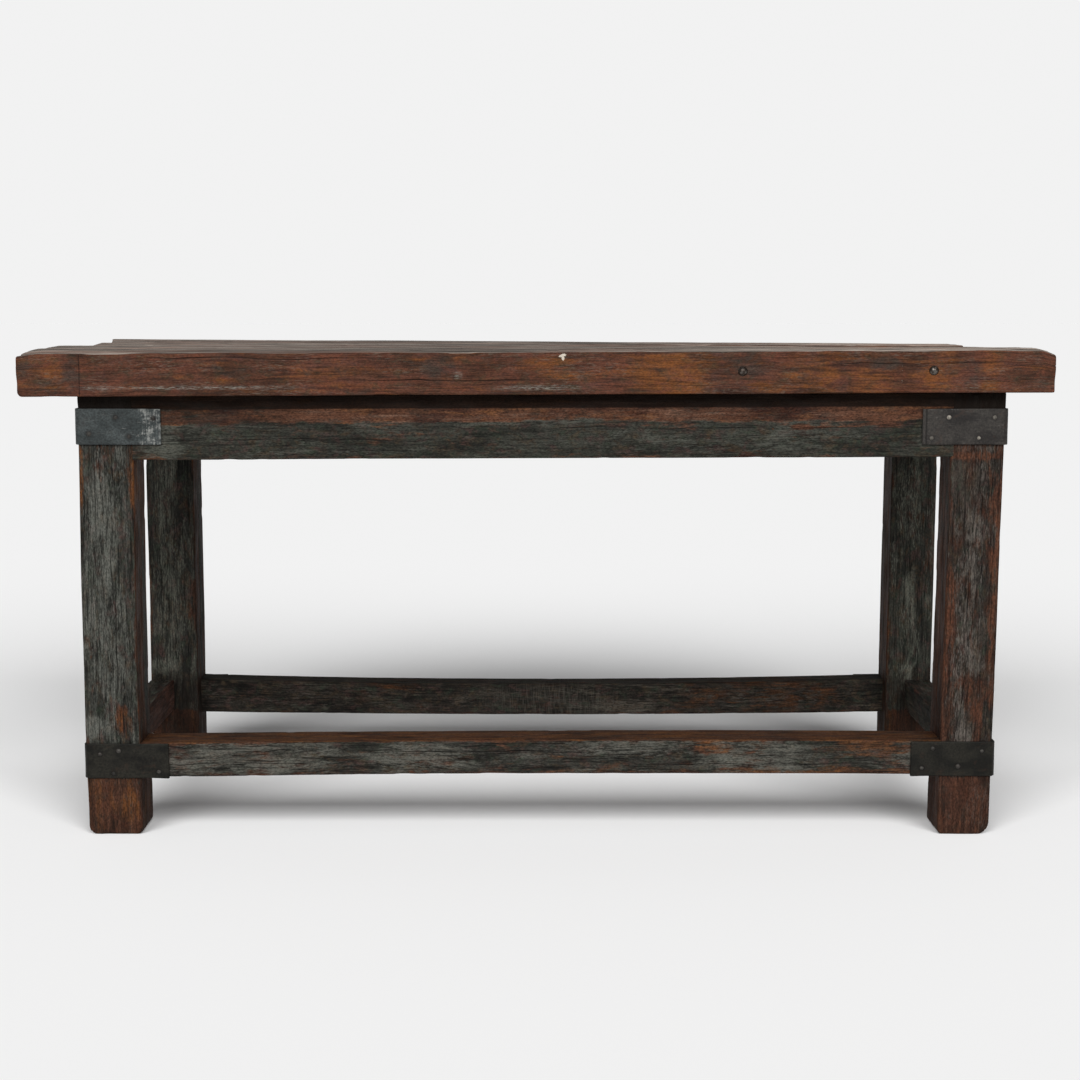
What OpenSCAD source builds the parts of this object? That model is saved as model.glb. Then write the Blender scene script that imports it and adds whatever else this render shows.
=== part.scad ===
// Rustic communion table: a three-board plank top on a heavy timber frame.
// Rails and stretchers are tenoned and pegged into four square legs, and an iron strap
// is nailed round each corner of the frame, at the apron and again at the stretchers.
// X runs along the table, Y from its front (-Y) to its back, Z up from the floor.
// The origin is on the floor, under the middle of the top.
// A corner is named by two signs: sx is -1 at the left and 1 at the right, and sy is
// -1 at the front and 1 at the back.

/* [Table] */
// Length of the top along its longest board
top_length = 1800; // [1600:10:2200]
// Depth of the top from front to back
top_depth = 740; // [700:5:900]
// Height of the top's upper face above the floor
table_height = 865; // [780:5:950]

/* [Top] */
// Thickness of the boards
board_thick = 73; // [55:1:85]
// Width of the front board
front_board_width = 285; // [260:1:300]
// Width of the middle board
middle_board_width = 234; // [210:1:250]
// Open joint between neighbouring boards
board_gap = 1; // [0.5:0.5:3]
// How far the middle board stops short of the front one at the left
middle_short_left = 38; // [0:1:60]
// How far the middle board stops short of the front one at the right
middle_short_right = 38; // [0:1:60]
// How far the back board stops short of the front one at the left
back_short_left = 7; // [0:1:60]
// How far the back board stops short of the front one at the right
back_short_right = 48; // [0:1:60]
// Chamfer along the boards' long upper edges
board_chamfer = 2; // [0.5:0.5:5]

/* [Legs] */
// Overhang of the top past the left legs
left_overhang = 96; // [60:1:120]
// Overhang of the top past the right legs
right_overhang = 76; // [60:1:120]
// Overhang of the top past the frame at the front
front_overhang = 35; // [20:1:60]
// Overhang of the top past the frame at the back
back_overhang = 36; // [20:1:60]
// Width of the left legs
left_leg_width = 99; // [90:1:120]
// Width of the right legs
right_leg_width = 93; // [90:1:120]
// Depth of every leg
leg_depth = 95; // [90:1:120]
// How far the front right leg leans in at its foot
front_right_lean = 9; // [0:1:12]
// How far the back right leg leans in at its foot
back_right_lean = 4; // [0:1:12]
// Radius of the worn corners under each foot
foot_wear = 12; // [3:1:20]

/* [Rails] */
// Height of the aprons
apron_height = 113.5; // [100:0.5:140]
// Thickness of the front and back aprons
apron_thick = 55; // [50:1:70]
// Thickness of the side aprons and side stretchers
side_rail_thick = 49; // [46:1:60]
// Depth of the front stretcher, front to back
front_stretcher_depth = 80; // [60:1:90]
// Depth of the back stretcher, front to back
back_stretcher_depth = 60; // [60:1:90]
// Height of the front and side stretchers
stretcher_height = 62; // [55:1:80]
// Height of the back stretcher at its ends
back_stretcher_height = 70; // [60:1:80]
// How far the front stretcher arches up in the middle
front_stretcher_arch = 4; // [0:0.5:10]
// How far the back stretcher's top is worn down in the middle
back_stretcher_wear = 11; // [0:0.5:15]
// How far the back stretcher's underside sags in the middle
back_stretcher_sag = 6; // [0:0.5:10]

/* [Joints] */
// Thickness of the tenons
tenon_thick = 20; // [14:1:22]
// Length of the tenons on the long rails
tenon_length = 50; // [40:1:55]
// Length of the tenons on the side rails
side_tenon_length = 45; // [35:1:45]
// Radius of the oak pegs through the tenons
peg_radius = 5; // [4:0.5:6]
// Length of the pegs
peg_length = 60; // [50:1:65]

/* [Bearers] */
// Width of the cross bearers that carry the boards
bearer_width = 70; // [50:1:90]
// Height of the cross bearers
bearer_height = 60; // [45:1:70]
// Distance from the middle bearer to each outer one
bearer_pitch = 520; // [400:10:560]
// Depth of the housings that hold the bearers in the aprons
housing_depth = 12; // [6:1:20]

/* [Ironwork] */
// Height of the corner straps
strap_height = 63; // [50:1:70]
// Thickness of the corner straps
strap_thick = 4.5; // [3:0.5:6]
// Length of a strap's arm along the front or back
strap_long_arm = 151; // [140:1:170]
// Length of a strap's arm along the side
strap_side_arm = 120; // [118:1:150]
// Radius of the nails' shanks
nail_radius = 2; // [1.5:0.25:2.5]
// Length of the nails under their heads
nail_length = 38; // [30:1:45]
// Radius of the tie bolts through the top
tie_radius = 6; // [4:0.5:8]
// Radius of the tie bolts' domed heads
tie_head_radius = 8.5; // [8.5:0.5:12]

/* [Hidden] */

$fn = 32;

// Colours
TOP_WOOD = "#6d4f3c";
PAINTED_WOOD = "#3f4240";
BARE_WOOD = "#7a5a41";
IRON = "#3c3d3d";
STEEL = "#5a5955";

// Positions of the frame's faces
frame_top = table_height - board_thick;
frame_front = front_overhang - top_depth / 2;
frame_back = top_depth / 2 - back_overhang;
apron_bottom = frame_top - apron_height;
left_x = -top_length / 2;
right_x = top_length / 2;
front_y = -top_depth / 2;
back_board_width = top_depth - front_board_width - middle_board_width - 2 * board_gap;
middle_board_y = front_y + front_board_width + board_gap;
back_board_y = middle_board_y + middle_board_width + board_gap;

// Undersides of the stretchers where they meet the legs
front_stretcher_left_z = 105;
front_stretcher_right_z = 110;
back_stretcher_z = 93;
side_stretcher_z = 106;

// How far a tenon is cut back above and below its rail
apron_shoulder = 15;
stretcher_shoulder = 10;
// How far a tenon lies behind its rail's outer face
tenon_setback = 20;
// How far a tenon block reaches back into its own rail, to make one solid with it
tenon_root = 10;
// How far a peg stands from the leg's inner face
peg_inset = 25;

// Undersides of the straps
upper_strap_z = frame_top - 89;
lower_strap_left_z = 104;
lower_strap_right_z = 108;
lower_strap_back_z = 98;
// Play between a strap and the side of its leg
strap_play = 0.3;
strap_bend_radius = 7;

// Clearance round nails, screws and bolts
bore_play = 0.1;
nail_head_radius = 5;
nail_head_height = 2.6;
nail_point = 6;

// Nails in each strap's long arm: distance from the strap's outer end, then height
UPPER_LEFT_NAILS = [[25, 19], [72, 48], [95, 14], [138, 46]];
UPPER_RIGHT_NAILS = [[25, 48], [52, 12], [105, 48], [135, 12]];
LOWER_LEFT_NAILS = [[28, 44], [52, 9], [62, 50], [133, 12]];
LOWER_RIGHT_NAILS = [[24, 46], [66, 18], [112, 51], [131, 15]];
// Nails in every strap's side arm, measured in the same way
SIDE_NAILS = [[24, 31], [60, 14], [108, 44]];

// Lag screws up through each bearer, two to a board
LAG_SCREW_Y = [-255, -120, -30, 90, 190, 262];
lag_radius = 4;
lag_length = 105;
lag_head_radius = 8;
lag_head_height = 5.5;

// Tie bolts along the front edge and their fittings at the back
TIE_X = [358, 689];
tie_z = table_height - 34;
tie_head_height = 4.5;
tie_washer_radius = 14;
tie_washer_thick = 2.5;
tie_nut_width = 19;
tie_nut_height = 9;
tie_recess_radius = 16;
tie_recess_depth = 15;

arc_steps = 6;
rail_steps = 24;

// Face of the leg at its outer side, at the frame's top
function leg_outer(sx) = sx < 0 ? left_x + left_overhang : right_x - right_overhang;
function leg_width(sx) = sx < 0 ? left_leg_width : right_leg_width;
function leg_inner(sx) = leg_outer(sx) - sx * leg_width(sx);
function face_y(sy) = sy < 0 ? frame_front : frame_back;
// Sideways shift of a leg at height z
function lean(sx, sy) = sx < 0 ? 0 : sy < 0 ? front_right_lean : back_right_lean;
function shift_at(sx, sy, z) = -lean(sx, sy) * (1 - z / frame_top);
// Outer face of a side rail at height z
function side_outer(sx, z) = leg_outer(sx) + shift_at(sx, -1, z);

// Points of an arc about (cx, cy) from angle a to angle b
function arc(cx, cy, r, a, b) =
    [for (i = [0:arc_steps]) let (t = a + (b - a) * i / arc_steps)
        [cx + r * cos(t), cy + r * sin(t)]];

// Height of a bowed edge at fraction t of its length
function bowed(left_z, right_z, rise, t) =
    left_z + (right_z - left_z) * t + rise * 4 * t * (1 - t);

// A point on a long rail's edge: its ends follow the lean of the legs
function rail_point(sy, z, t) =
    [(leg_inner(-1) + shift_at(-1, sy, z)) * (1 - t)
        + (leg_inner(1) + shift_at(1, sy, z)) * t, z];

// Underside of each stretcher where it meets a leg
function long_stretcher_z(sx, sy) =
    sy > 0 ? back_stretcher_z : sx < 0 ? front_stretcher_left_z : front_stretcher_right_z;
function long_stretcher_height(sy) = sy > 0 ? back_stretcher_height : stretcher_height;

// Underside of a strap
function strap_z(sx, sy, upper) =
    upper ? upper_strap_z
    : sy > 0 ? lower_strap_back_z
    : sx < 0 ? lower_strap_left_z : lower_strap_right_z;
// Inner corner of a strap, beside the leg's outer face
function strap_x(sx, sy, upper) =
    leg_outer(sx) + shift_at(sx, sy, strap_z(sx, sy, upper) + strap_height)
        + sx * strap_play;
function strap_nails(sx, upper) =
    upper ? (sx < 0 ? UPPER_LEFT_NAILS : UPPER_RIGHT_NAILS)
    : (sx < 0 ? LOWER_LEFT_NAILS : LOWER_RIGHT_NAILS);

// A box between two opposite corners, given in any order
module span(a, b) {
    low = [for (i = [0:2]) min(a[i], b[i])];
    high = [for (i = [0:2]) max(a[i], b[i])];
    translate(low) cube(high - low);
}

// Extrudes an outline drawn in X and Z through the thickness y0 to y1
module upright(y0, y1) {
    translate([0, max(y0, y1), 0]) rotate([90, 0, 0]) linear_extrude(abs(y1 - y0)) children();
}

// ---- Top ----

module board(y, width, x0, x1) {
    c = board_chamfer;
    outline = [[y, frame_top], [y + width, frame_top], [y + width, table_height - c],
        [y + width - c, table_height], [y + c, table_height], [y, table_height - c]];
    color(TOP_WOOD) difference() {
        translate([x0, 0, 0]) rotate([90, 0, 90]) linear_extrude(x1 - x0) polygon(outline);
        lag_screw_bores();
        tie_bores();
    }
}

module top_board_front() {
    board(front_y, front_board_width, left_x, right_x);
}

module top_board_middle() {
    board(middle_board_y, middle_board_width,
        left_x + middle_short_left, right_x - middle_short_right);
}

module top_board_back() {
    board(back_board_y, back_board_width,
        left_x + back_short_left, right_x - back_short_right);
}

// ---- Tenons, which are also the shapes of their mortises ----

module long_tenon(sx, sy, z0, z1) {
    x = leg_inner(sx) + shift_at(sx, sy, (z0 + z1) / 2);
    y = face_y(sy) - sy * tenon_setback;
    span([x - sx * tenon_root, y, z0], [x + sx * tenon_length, y - sy * tenon_thick, z1]);
}

module side_tenon(sx, sy, z0, z1) {
    x = side_outer(sx, (z0 + z1) / 2) - sx * tenon_setback;
    y = face_y(sy) - sy * leg_depth;
    span([x, y - sy * tenon_root, z0], [x - sx * tenon_thick, y + sy * side_tenon_length, z1]);
}

module long_apron_tenon(sx, sy) {
    long_tenon(sx, sy, apron_bottom + apron_shoulder, frame_top - apron_shoulder);
}

module side_apron_tenon(sx, sy) {
    side_tenon(sx, sy, apron_bottom + apron_shoulder, frame_top - apron_shoulder);
}

module long_stretcher_tenon(sx, sy) {
    z = long_stretcher_z(sx, sy);
    long_tenon(sx, sy, z + stretcher_shoulder,
        z + long_stretcher_height(sy) - stretcher_shoulder);
}

module side_stretcher_tenon(sx, sy) {
    side_tenon(sx, sy, side_stretcher_z + stretcher_shoulder,
        side_stretcher_z + stretcher_height - stretcher_shoulder);
}

// ---- Pegs: one through each of the four tenons at a corner ----

module peg_shapes(sx, sy, radius) {
    apron_mid = apron_bottom + apron_height / 2;
    long_mid = long_stretcher_z(sx, sy) + long_stretcher_height(sy) / 2;
    side_mid = side_stretcher_z + stretcher_height / 2;
    side_y = face_y(sy) - sy * (leg_depth - peg_inset);
    for (z = [apron_mid, long_mid])
        translate([leg_inner(sx) + shift_at(sx, sy, z) + sx * peg_inset, face_y(sy), z])
            rotate([90 * sy, 0, 0]) cylinder(r = radius, h = peg_length);
    for (z = [apron_mid, side_mid])
        translate([side_outer(sx, z), side_y, z])
            rotate([0, -90 * sx, 0]) cylinder(r = radius, h = peg_length);
}

module pegs(sx, sy) {
    color(BARE_WOOD) peg_shapes(sx, sy, peg_radius);
}

// ---- Legs ----

module leg(sx, sy) {
    r = foot_wear;
    low = min(leg_outer(sx), leg_inner(sx)) + shift_at(sx, sy, 0);
    high = low + leg_width(sx);
    outline = concat(arc(low + r, r, r, 180, 270), arc(high - r, r, r, 270, 360),
        [[high + lean(sx, sy), frame_top], [low + lean(sx, sy), frame_top]]);
    color(PAINTED_WOOD) difference() {
        upright(face_y(sy), face_y(sy) - sy * leg_depth) polygon(outline);
        long_apron_tenon(sx, sy);
        side_apron_tenon(sx, sy);
        long_stretcher_tenon(sx, sy);
        side_stretcher_tenon(sx, sy);
        peg_shapes(sx, sy, peg_radius);
        nail_bores(sx, sy, true);
        nail_bores(sx, sy, false);
    }
}

// ---- Aprons and stretchers ----

module long_rail_body(sy, thick, bottom, top) {
    points = concat(
        [for (i = [0:rail_steps]) let (t = i / rail_steps)
            rail_point(sy, bowed(bottom[0], bottom[1], bottom[2], t), t)],
        [for (i = [0:rail_steps]) let (t = 1 - i / rail_steps)
            rail_point(sy, bowed(top[0], top[1], top[2], t), t)]);
    upright(face_y(sy), face_y(sy) - sy * thick) polygon(points);
}

module side_rail_body(sx, z, height) {
    x = side_outer(sx, z + height / 2);
    span([x, frame_front + leg_depth, z],
        [x - sx * side_rail_thick, frame_back - leg_depth, z + height]);
}

module long_apron(sy) {
    inner_face = face_y(sy) - sy * apron_thick;
    color(PAINTED_WOOD) difference() {
        union() {
            span([leg_inner(-1), face_y(sy), apron_bottom],
                [leg_inner(1) + shift_at(1, sy, apron_bottom), inner_face, frame_top]);
            for (sx = [-1, 1])
                long_apron_tenon(sx, sy);
        }
        for (i = [-1:1])
            span([i * bearer_pitch - bearer_width / 2, inner_face + sy * housing_depth,
                    frame_top - bearer_height],
                [i * bearer_pitch + bearer_width / 2, inner_face - sy, frame_top + 1]);
        for (sx = [-1, 1]) {
            peg_shapes(sx, sy, peg_radius);
            nail_bores(sx, sy, true);
        }
    }
}

module side_apron(sx) {
    color(PAINTED_WOOD) difference() {
        union() {
            side_rail_body(sx, apron_bottom, apron_height);
            for (sy = [-1, 1])
                side_apron_tenon(sx, sy);
        }
        for (sy = [-1, 1]) {
            peg_shapes(sx, sy, peg_radius);
            nail_bores(sx, sy, true);
        }
    }
}

module long_stretcher(sy, depth, bottom, top) {
    color(PAINTED_WOOD) difference() {
        union() {
            long_rail_body(sy, depth, bottom, top);
            for (sx = [-1, 1])
                long_stretcher_tenon(sx, sy);
        }
        for (sx = [-1, 1]) {
            peg_shapes(sx, sy, peg_radius);
            nail_bores(sx, sy, false);
        }
    }
}

module side_stretcher(sx) {
    color(PAINTED_WOOD) difference() {
        union() {
            side_rail_body(sx, side_stretcher_z, stretcher_height);
            for (sy = [-1, 1])
                side_stretcher_tenon(sx, sy);
        }
        for (sy = [-1, 1]) {
            peg_shapes(sx, sy, peg_radius);
            nail_bores(sx, sy, false);
        }
    }
}

module apron_front() {
    long_apron(-1);
}

module apron_back() {
    long_apron(1);
}

module stretcher_front() {
    long_stretcher(-1, front_stretcher_depth,
        [front_stretcher_left_z, front_stretcher_right_z, front_stretcher_arch],
        [front_stretcher_left_z + stretcher_height,
            front_stretcher_right_z + stretcher_height, front_stretcher_arch]);
}

module stretcher_back() {
    long_stretcher(1, back_stretcher_depth,
        [back_stretcher_z, back_stretcher_z, -back_stretcher_sag],
        [back_stretcher_z + back_stretcher_height,
            back_stretcher_z + back_stretcher_height, -back_stretcher_wear]);
}

// ---- Bearers and their lag screws ----

module bearer(i) {
    reach = apron_thick - housing_depth;
    color(BARE_WOOD) difference() {
        span([i * bearer_pitch - bearer_width / 2, frame_front + reach,
                frame_top - bearer_height],
            [i * bearer_pitch + bearer_width / 2, frame_back - reach, frame_top]);
        lag_screw_bores();
    }
}

// Screws stand left and right of the bearer's middle line by turns
function lag_x(i, k) = i * bearer_pitch + (k % 2 == 0 ? -1 : 1) * bearer_width / 5;

module lag_screw_bores() {
    for (i = [-1:1], k = [0:len(LAG_SCREW_Y) - 1])
        translate([lag_x(i, k), LAG_SCREW_Y[k], frame_top - bearer_height])
            cylinder(r = lag_radius + bore_play, h = lag_length + 1);
}

module lag_screws(i) {
    color(STEEL) for (k = [0:len(LAG_SCREW_Y) - 1])
        translate([lag_x(i, k), LAG_SCREW_Y[k], frame_top - bearer_height]) {
            cylinder(r = lag_radius, h = lag_length - lag_radius * 2);
            translate([0, 0, lag_length - lag_radius * 2])
                cylinder(r1 = lag_radius, r2 = lag_radius / 4, h = lag_radius * 2);
            translate([0, 0, -lag_head_height])
                cylinder(r = lag_head_radius, h = lag_head_height, $fn = 6);
        }
}

// ---- Tie bolts through the three boards ----

module tie_bores() {
    for (x = TIE_X)
        translate([x, front_y - 1, tie_z]) rotate([-90, 0, 0]) {
            cylinder(r = tie_radius + bore_play, h = top_depth + 2);
            translate([0, 0, top_depth + 1 - tie_recess_depth])
                cylinder(r = tie_recess_radius, h = tie_recess_depth + 1);
        }
}

module tie_bolt(x) {
    r = tie_head_radius;
    h = tie_head_height;
    ball = (r * r + h * h) / (2 * h);
    dome = [[0, 0], [r, 0], for (i = [1:arc_steps]) let (t = 1 - i / arc_steps)
        [r * t, sqrt(ball * ball - r * r * t * t) - ball + h]];
    color(STEEL) translate([x, front_y, tie_z]) {
        rotate([90, 0, 0]) rotate_extrude() polygon(dome);
        rotate([-90, 0, 0])
            cylinder(r = tie_radius, h = top_depth - tie_recess_depth
                + tie_washer_thick + tie_nut_height + 2);
    }
}

module tie_washer(x) {
    color(STEEL) translate([x, -front_y - tie_recess_depth, tie_z]) rotate([-90, 0, 0])
        difference() {
            cylinder(r = tie_washer_radius, h = tie_washer_thick);
            translate([0, 0, -1])
                cylinder(r = tie_radius + bore_play, h = tie_washer_thick + 2);
        }
}

module tie_nut(x) {
    w = tie_nut_width;
    color(STEEL) translate([x, -front_y - tie_recess_depth + tie_washer_thick, tie_z])
        rotate([-90, 0, 0]) difference() {
            translate([-w / 2, -w / 2, 0]) cube([w, w, tie_nut_height]);
            translate([0, 0, -1])
                cylinder(r = tie_radius + bore_play, h = tie_nut_height + 2);
        }
}

// ---- Corner straps and their nails ----

// Places a nail or its bore, head outwards, for each nail of one strap
module at_nails(sx, sy, upper) {
    x = strap_x(sx, sy, upper) + sx * strap_thick;
    y = face_y(sy) + sy * strap_thick;
    z = strap_z(sx, sy, upper);
    for (p = strap_nails(sx, upper))
        translate([x - sx * p[0], y, z + p[1]]) rotate([-90 * sy, 0, 0]) children();
    for (p = SIDE_NAILS)
        translate([x, y - sy * p[0], z + p[1]]) rotate([0, 90 * sx, 0]) children();
}

module nail_bores(sx, sy, upper) {
    at_nails(sx, sy, upper)
        translate([0, 0, -nail_length - 1])
            cylinder(r = nail_radius + bore_play, h = nail_length + 2);
}

module nails(sx, sy, upper) {
    r = nail_head_radius;
    h = nail_head_height;
    color(IRON) at_nails(sx, sy, upper) {
        cylinder(r1 = r, r2 = r * 0.75, h = h * 0.6);
        translate([0, 0, h * 0.6]) cylinder(r1 = r * 0.75, r2 = r * 0.3, h = h * 0.4);
        translate([0, 0, nail_point - nail_length])
            cylinder(r = nail_radius, h = nail_length - nail_point);
        translate([0, 0, -nail_length])
            cylinder(r1 = nail_radius / 4, r2 = nail_radius, h = nail_point);
    }
}

module strap(sx, sy, upper) {
    r = strap_bend_radius;
    t = strap_thick;
    // Drawn for a corner at the origin whose arms run along +X and +Y
    outline = concat([[0, 0]], [[0, strap_side_arm - t], [-t, strap_side_arm - t]],
        arc(r - t, r - t, r, 180, 270), [[strap_long_arm - t, -t], [strap_long_arm - t, 0]]);
    color(IRON) difference() {
        translate([strap_x(sx, sy, upper), face_y(sy), strap_z(sx, sy, upper)])
            linear_extrude(strap_height)
                polygon([for (p = outline) [-sx * p[0], -sy * p[1]]]);
        nail_bores(sx, sy, upper);
    }
}

top_board_front();
top_board_middle();
top_board_back();
leg(-1, -1);  // leg_front_left
leg(1, -1);  // leg_front_right
leg(-1, 1);  // leg_back_left
leg(1, 1);  // leg_back_right
apron_front();
apron_back();
side_apron(-1);  // apron_left
side_apron(1);  // apron_right
stretcher_front();
stretcher_back();
side_stretcher(-1);  // stretcher_left
side_stretcher(1);  // stretcher_right
bearer(-1);  // bearer_left
bearer(0);  // bearer_centre
bearer(1);  // bearer_right
strap(-1, -1, true);  // strap_upper_front_left
strap(1, -1, true);  // strap_upper_front_right
strap(-1, 1, true);  // strap_upper_back_left
strap(1, 1, true);  // strap_upper_back_right
strap(-1, -1, false);  // strap_lower_front_left
strap(1, -1, false);  // strap_lower_front_right
strap(-1, 1, false);  // strap_lower_back_left
strap(1, 1, false);  // strap_lower_back_right
nails(-1, -1, true);  // nails_upper_front_left
nails(1, -1, true);  // nails_upper_front_right
nails(-1, 1, true);  // nails_upper_back_left
nails(1, 1, true);  // nails_upper_back_right
nails(-1, -1, false);  // nails_lower_front_left
nails(1, -1, false);  // nails_lower_front_right
nails(-1, 1, false);  // nails_lower_back_left
nails(1, 1, false);  // nails_lower_back_right
pegs(-1, -1);  // pegs_front_left
pegs(1, -1);  // pegs_front_right
pegs(-1, 1);  // pegs_back_left
pegs(1, 1);  // pegs_back_right
lag_screws(-1);  // lag_screws_left
lag_screws(0);  // lag_screws_centre
lag_screws(1);  // lag_screws_right
tie_bolt(TIE_X[0]);  // tie_bolt_left
tie_bolt(TIE_X[1]);  // tie_bolt_right
tie_washer(TIE_X[0]);  // tie_washer_left
tie_washer(TIE_X[1]);  // tie_washer_right
tie_nut(TIE_X[0]);  // tie_nut_left
tie_nut(TIE_X[1]);  // tie_nut_right
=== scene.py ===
"""Looks of the communion table: worn timber, nailed iron straps, floor, light and camera.

Every timber is a closed block gridded over its whole surface. The grid is rounded at the arrises,
then worn, dented, cracked and bent. Its points carry the values that the materials read, from 0
to about 1 except where said:

    grain               the place in the timber, in metres, along the grain first
    pith                the place from the middle of the tree, in metres
    wear                rubbed arrises
    cavity              the depths of cracks, saw marks, knots and grooves
    warm, pale, cool    places of orange wood, of chalk or pale streaks, and of dirt
    bare, dirt_and_shade  lost paint, and dirt with painted shade where shadows fall
    scuffed, fresh      scratched paint, and newly broken wood
    weather, bleached   greyed and sun-paled upper faces
    end                 sawn ends
"""
import math
from collections import namedtuple

import bpy
import numpy as np
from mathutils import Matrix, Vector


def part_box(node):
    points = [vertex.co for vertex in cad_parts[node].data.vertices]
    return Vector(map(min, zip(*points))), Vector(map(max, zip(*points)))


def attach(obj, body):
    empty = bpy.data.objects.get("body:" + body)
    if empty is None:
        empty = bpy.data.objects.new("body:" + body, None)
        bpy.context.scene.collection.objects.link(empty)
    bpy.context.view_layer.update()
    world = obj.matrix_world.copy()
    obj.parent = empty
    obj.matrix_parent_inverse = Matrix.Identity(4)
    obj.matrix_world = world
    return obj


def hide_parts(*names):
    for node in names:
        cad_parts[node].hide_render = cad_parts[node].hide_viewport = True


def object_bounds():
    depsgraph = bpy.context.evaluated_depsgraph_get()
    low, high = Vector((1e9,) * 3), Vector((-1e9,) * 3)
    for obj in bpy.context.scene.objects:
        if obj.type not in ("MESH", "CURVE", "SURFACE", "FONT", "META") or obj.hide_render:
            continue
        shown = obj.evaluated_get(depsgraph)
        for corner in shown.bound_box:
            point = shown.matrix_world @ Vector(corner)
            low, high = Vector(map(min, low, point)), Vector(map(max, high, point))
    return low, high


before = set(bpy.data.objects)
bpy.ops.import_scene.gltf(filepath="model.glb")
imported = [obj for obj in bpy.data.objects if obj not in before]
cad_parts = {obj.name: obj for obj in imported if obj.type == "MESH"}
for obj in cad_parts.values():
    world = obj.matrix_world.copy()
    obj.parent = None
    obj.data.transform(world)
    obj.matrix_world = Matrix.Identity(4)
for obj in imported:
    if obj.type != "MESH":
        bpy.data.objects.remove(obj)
cad_low, cad_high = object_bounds()

MM = 0.001

# ---- The frame's own measures, which the CAD model holds too ----

FRONT, BACK, LEFT, RIGHT = -1, 1, -1, 1
# How far each right leg leans in at its foot
LEAN = {FRONT: 9 * MM, BACK: 4 * MM}
FRONT_STRETCHER_ARCH = 4 * MM
BACK_STRETCHER_WEAR = 11 * MM
BACK_STRETCHER_SAG = 6 * MM
FRONT_STRETCHER_TILT = 5 * MM
STRAP_THICK = 4.5 * MM
STRAP_BEND = 2.5 * MM

CORNERS = {(sx, sy): f"{'front' if sy < 0 else 'back'}_{'left' if sx < 0 else 'right'}"
           for sy in (FRONT, BACK) for sx in (LEFT, RIGHT)}


def box(node):
    """A CAD node's lowest and highest corners, as arrays."""
    low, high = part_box(node)
    return np.array(low), np.array(high)


# ---- Noise ----

def scatter(cells, seed):
    """A repeatable value from 0 to 1 for each whole-number cell."""
    h = cells[..., 0] * 374761393 + cells[..., 1] * 668265263 + cells[..., 2] * 1442695041
    h = (h + seed * 1274126177) & 0xFFFFFFFF
    h = ((h ^ (h >> 13)) * 1103515245) & 0xFFFFFFFF
    h = ((h ^ (h >> 16)) * 668265263) & 0xFFFFFFFF
    return (h ^ (h >> 15)) / 0xFFFFFFFF


def noise(points, size, seed):
    """Smooth noise from -1 to 1, whose lumps have this size along each axis."""
    scaled = points / np.asarray(size, float)
    cell = np.floor(scaled).astype(np.int64)
    part = scaled - cell
    part = part * part * part * (part * (part * 6 - 15) + 10)
    total = np.zeros(len(points))
    for corner in np.ndindex(2, 2, 2):
        step = np.array(corner)
        weight = np.prod(np.where(step, part, 1 - part), axis=1)
        total += weight * scatter(cell + step, seed)
    return total * 2 - 1


def layered(points, size, seed, layers=3):
    """Noise with finer noise on it."""
    size = np.asarray(size, float)
    total = np.zeros(len(points))
    for i in range(layers):
        total += noise(points + 7.3 * i, size / 2 ** i, seed + i) / 2 ** i
    return total / (2 - 2 ** (1 - layers))


def ease(low, high, value):
    """0 below low, 1 above high and a smooth step between, or the reverse if low is above high."""
    t = np.clip((value - low) / (high - low), 0, 1)
    return t * t * (3 - 2 * t)


# ---- Meshes ----

# Columns of the world's axes for a timber whose grain runs along x, y or z
TO_WORLD = {"x": [0, 1, 2], "y": [2, 0, 1], "z": [1, 2, 0]}
TO_LOCAL = {"x": [0, 1, 2], "y": [1, 2, 0], "z": [2, 0, 1]}
# Grid lines beside an arris, and on both sides of a crack
EDGE_LINES = np.array([0, 1.2, 2.6, 4.5, 7, 10.5, 15]) * MM
CRACK_LINES = np.array([-2, -0.9, 0, 0.9, 2]) * MM
CRACK_ROOM = 2.2 * MM


def places(low, high, step, extra=()):
    """Grid lines from low to high, close together near both ends and at the extra places."""
    edge = EDGE_LINES[EDGE_LINES < (high - low) * 0.4]
    inner = np.arange(low + edge[-1] + step, high - edge[-1] - step * 0.5, step)
    lines = np.concatenate([low + edge, high - edge, inner])
    for place in extra:
        lines = lines[abs(lines - place) > CRACK_ROOM]
        lines = np.concatenate([lines, place + CRACK_LINES])
    return np.sort(lines)


def block(us, vs, ws):
    """Points and faces over the surface of a box gridded along these three lists of places."""
    shape = len(us), len(vs), len(ws)
    outside = np.ones(shape, bool)
    outside[1:-1, 1:-1, 1:-1] = False
    index = np.full(shape, -1)
    index[outside] = np.arange(outside.sum())
    i, j, k = np.nonzero(outside)
    faces = []
    for axis in range(3):
        for side in (0, -1):
            g = np.take(index, side, axis=axis)
            quads = np.stack([g[:-1, :-1], g[1:, :-1], g[1:, 1:], g[:-1, 1:]], -1).reshape(-1, 4)
            faces.append(quads[:, ::-1] if (side == 0) != (axis == 1) else quads)
    return np.stack([us[i], vs[j], ws[k]], 1), np.concatenate(faces)


def rounded(points, low, high, radius):
    """The box's points drawn in to an arris of that radius, and the way each one faces."""
    inner = np.clip(points, low + radius[:, None], high - radius[:, None])
    away = points - inner
    facing = away / np.maximum(np.linalg.norm(away, axis=1), 1e-9)[:, None]
    return inner + facing * radius[:, None], facing


def added(name, data):
    """A new object with this data, in the scene."""
    made = bpy.data.objects.new(name, data)
    bpy.context.scene.collection.objects.link(made)
    return made


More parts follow.
